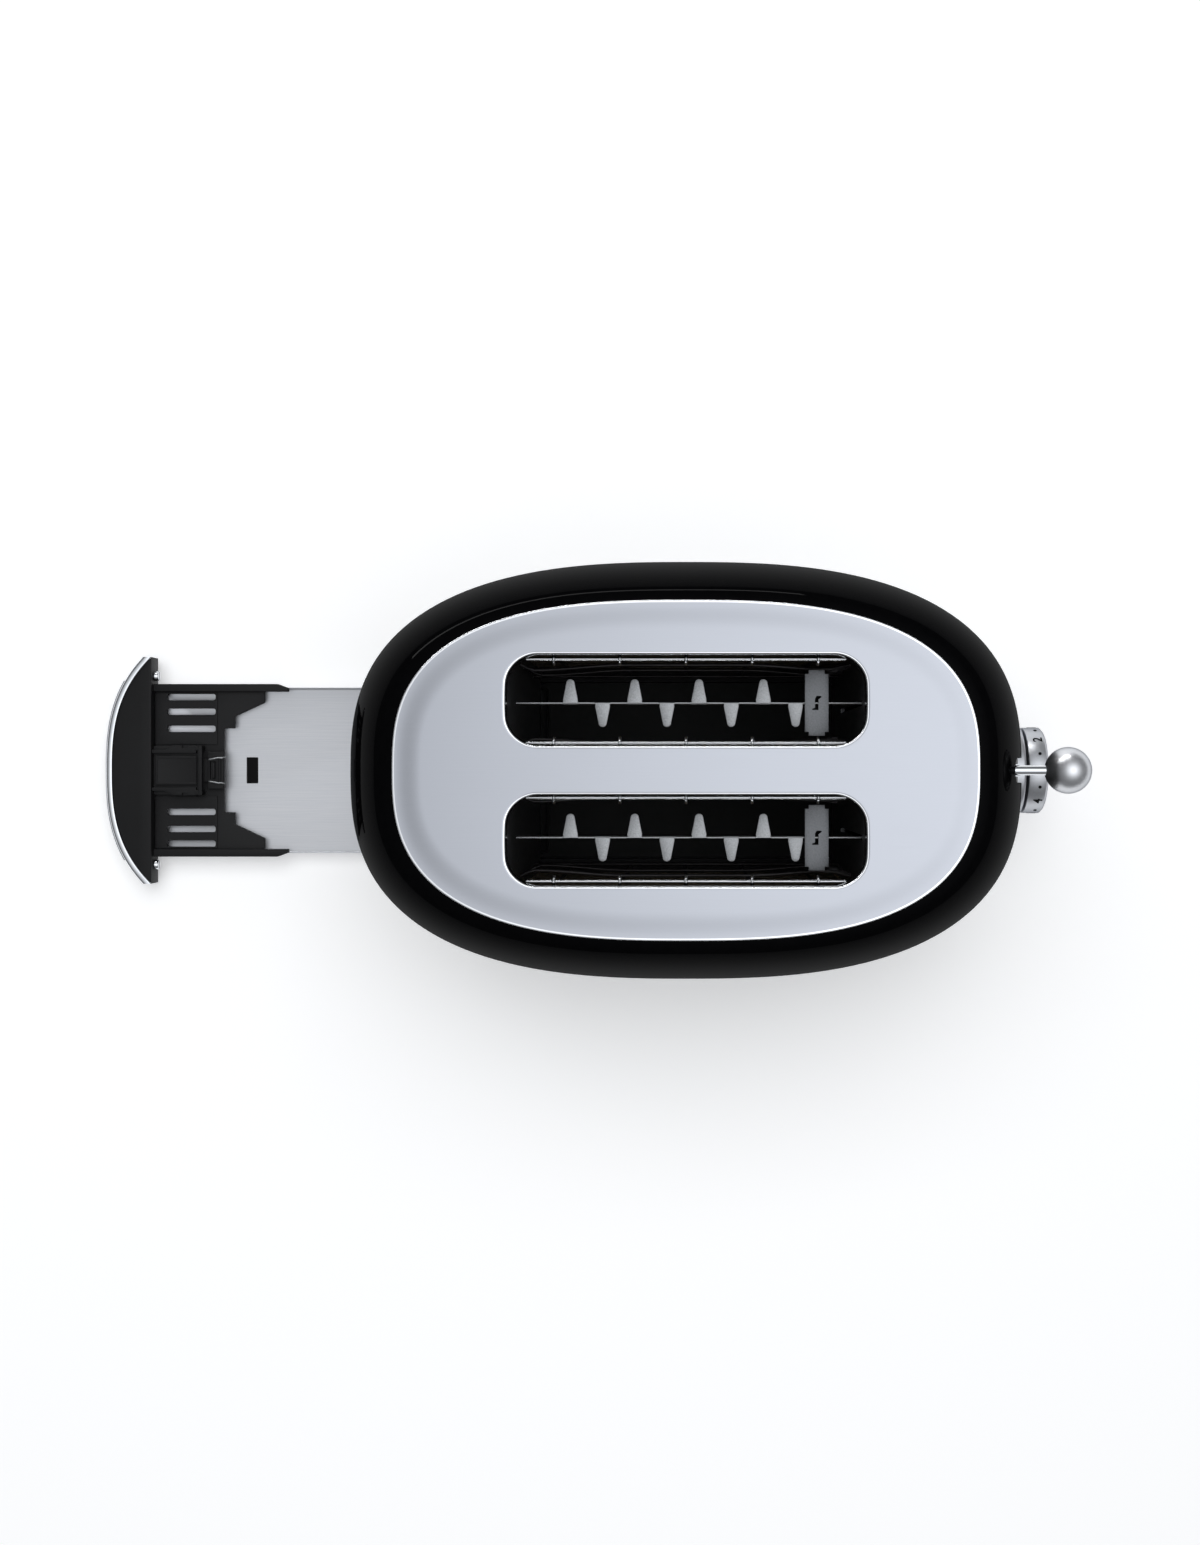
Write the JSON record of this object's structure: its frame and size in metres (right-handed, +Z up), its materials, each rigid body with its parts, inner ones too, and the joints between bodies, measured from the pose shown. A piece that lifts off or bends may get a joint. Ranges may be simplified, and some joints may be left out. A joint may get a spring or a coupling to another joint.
{
  "type": "two-slice toaster",
  "caption": "Oval pop-up toaster with two bread slots, lift lever with ball, browning dial, push buttons, closing guide grids and a drawn-out crumb tray with a latch.",
  "frame": {"origin": "centre of the flat underside of the base pan, 5 mm above what the feet stand on", "axes": "+Z up, +X towards the end with the lever and the dial, -X towards the drawn-out crumb tray"},
  "size_m": [0.4725, 0.192, 0.193],
  "materials": {
    "black_enamel": "gloss stove enamel on steel",
    "satin_steel": "fine satin brushing",
    "chrome_plate": "polished plating",
    "galvanised_sheet": "zinc-coated sheet, matt",
    "blackened_sheet": "heat-darkened sheet",
    "black_plastic": "moulded, fine spark texture",
    "mica_card": "mica sheet with ribbon",
    "board_laminate": "circuit board laminate",
    "ivory_resin": "moulded resin",
    "copper_winding": "wound or sprung copper alloy",
    "foot_rubber": "moulded rubber"
  },
  "bodies": {
    "root": {"body_shell": "black_enamel", "top_plate": "satin_steel", "base_band": "chrome_plate", "base_pan": "black_plastic", "foot_1": "foot_rubber", "foot_2": "foot_rubber", "foot_3": "foot_rubber", "foot_4": "foot_rubber", "base_screw_1": "galvanised_sheet", "base_screw_2": "galvanised_sheet", "rear_bulkhead": "blackened_sheet", "front_bulkhead": "blackened_sheet", "side_reflector_left": "galvanised_sheet", "side_reflector_right": "galvanised_sheet", "heater_card_left_outer": "mica_card", "heater_card_left_inner": "mica_card", "heater_card_right_inner": "mica_card", "heater_card_right_outer": "mica_card", "guide_rod": "chrome_plate", "lift_spring": "galvanised_sheet", "magnet_bracket": "galvanised_sheet", "magnet_coil": "copper_winding", "contact_block": "ivory_resin", "contact_leaf": "copper_winding", "lever_slot_guide": "black_plastic", "knob_bezel": "chrome_plate", "control_board": "board_laminate", "potentiometer": "galvanised_sheet", "cord_gland": "foot_rubber", "terminal_block": "ivory_resin"},
    "carriage": {"carriage_plate": "blackened_sheet", "catch_plate": "galvanised_sheet", "rack_left": "galvanised_sheet", "rack_right": "galvanised_sheet", "rack_stop_left": "galvanised_sheet", "rack_stop_right": "galvanised_sheet", "lever_stem": "chrome_plate", "lever_ball": "chrome_plate"},
    "knob": {"browning_knob": "chrome_plate", "knob_shaft": "galvanised_sheet"},
    "tray": {"tray_front_band": "chrome_plate", "tray_grip_strip": "satin_steel", "tray_handle": "black_plastic", "tray_screw_left": "chrome_plate", "tray_screw_right": "chrome_plate", "tray_carrier": "black_plastic", "tray_pan": "satin_steel", "latch_cover": "black_plastic"},
    "latch": {"latch_slider": "black_plastic", "latch_spring": "galvanised_sheet"},
    "grid_left_outer": {"guide_grid_left_outer": "chrome_plate"},
    "grid_left_inner": {"guide_grid_left_inner": "chrome_plate"},
    "grid_right_inner": {"guide_grid_right_inner": "chrome_plate"},
    "grid_right_outer": {"guide_grid_right_outer": "chrome_plate"},
    "button_defrost_body": {"button_defrost": "chrome_plate"},
    "button_bagel_body": {"button_bagel": "chrome_plate"},
    "button_cancel_body": {"button_cancel": "chrome_plate"},
    "button_reheat_body": {"button_reheat": "chrome_plate"}
  },
  "joints": [
    {"name": "carriage_slide", "type": "slide", "parent": "root", "child": "carriage", "axis": [0, 0, -1], "range_m": [0, 0.08], "stiffness_N_per_m": 80, "springref_m": -0.06, "deforming": ["lift_spring"]},
    {"name": "grid_left_outer_swing", "type": "hinge", "parent": "root", "child": "grid_left_outer", "pos_m": [0, -0.04595, 0.05], "axis": [-1, 0, 0], "range_deg": [0, 3]},
    {"name": "grid_left_inner_swing", "type": "hinge", "parent": "root", "child": "grid_left_inner", "pos_m": [0, -0.01125, 0.05], "axis": [1, 0, 0], "range_deg": [0, 3]},
    {"name": "grid_right_inner_swing", "type": "hinge", "parent": "root", "child": "grid_right_inner", "pos_m": [0, 0.01125, 0.05], "axis": [-1, 0, 0], "range_deg": [0, 3]},
    {"name": "grid_right_outer_swing", "type": "hinge", "parent": "root", "child": "grid_right_outer", "pos_m": [0, 0.04595, 0.05], "axis": [1, 0, 0], "range_deg": [0, 3]},
    {"name": "browning_turn", "type": "hinge", "parent": "root", "child": "knob", "pos_m": [0.1649, 0, 0.045], "axis": [1, 0, 0], "range_deg": [-135, 90]},
    {"name": "defrost_press", "type": "slide", "parent": "root", "child": "button_defrost_body", "axis": [-1, 0, 0], "range_m": [0, 0.0022], "stiffness_N_per_m": 300, "springref_m": -0.002},
    {"name": "bagel_press", "type": "slide", "parent": "root", "child": "button_bagel_body", "axis": [-1, 0, 0], "range_m": [0, 0.0022], "stiffness_N_per_m": 300, "springref_m": -0.002},
    {"name": "cancel_press", "type": "slide", "parent": "root", "child": "button_cancel_body", "axis": [-1, 0, 0], "range_m": [0, 0.0022], "stiffness_N_per_m": 300, "springref_m": -0.002},
    {"name": "reheat_press", "type": "slide", "parent": "root", "child": "button_reheat_body", "axis": [-1, 0, 0], "range_m": [0, 0.0022], "stiffness_N_per_m": 300, "springref_m": -0.002},
    {"name": "tray_slide", "type": "slide", "parent": "root", "child": "tray", "axis": [1, 0, 0], "range_m": [-0.04, 0.1475]},
    {"name": "latch_press", "type": "slide", "parent": "tray", "child": "latch", "axis": [-1, 0, 0], "range_m": [0, 0.004], "stiffness_N_per_m": 200, "springref_m": -0.003}
  ],
  "couplings": [
    {"joint": "grid_left_outer_swing", "follows": "carriage_slide", "rad_per_m": 0.595},
    {"joint": "grid_left_inner_swing", "follows": "carriage_slide", "rad_per_m": 0.595},
    {"joint": "grid_right_inner_swing", "follows": "carriage_slide", "rad_per_m": 0.595},
    {"joint": "grid_right_outer_swing", "follows": "carriage_slide", "rad_per_m": 0.595}
  ]
}
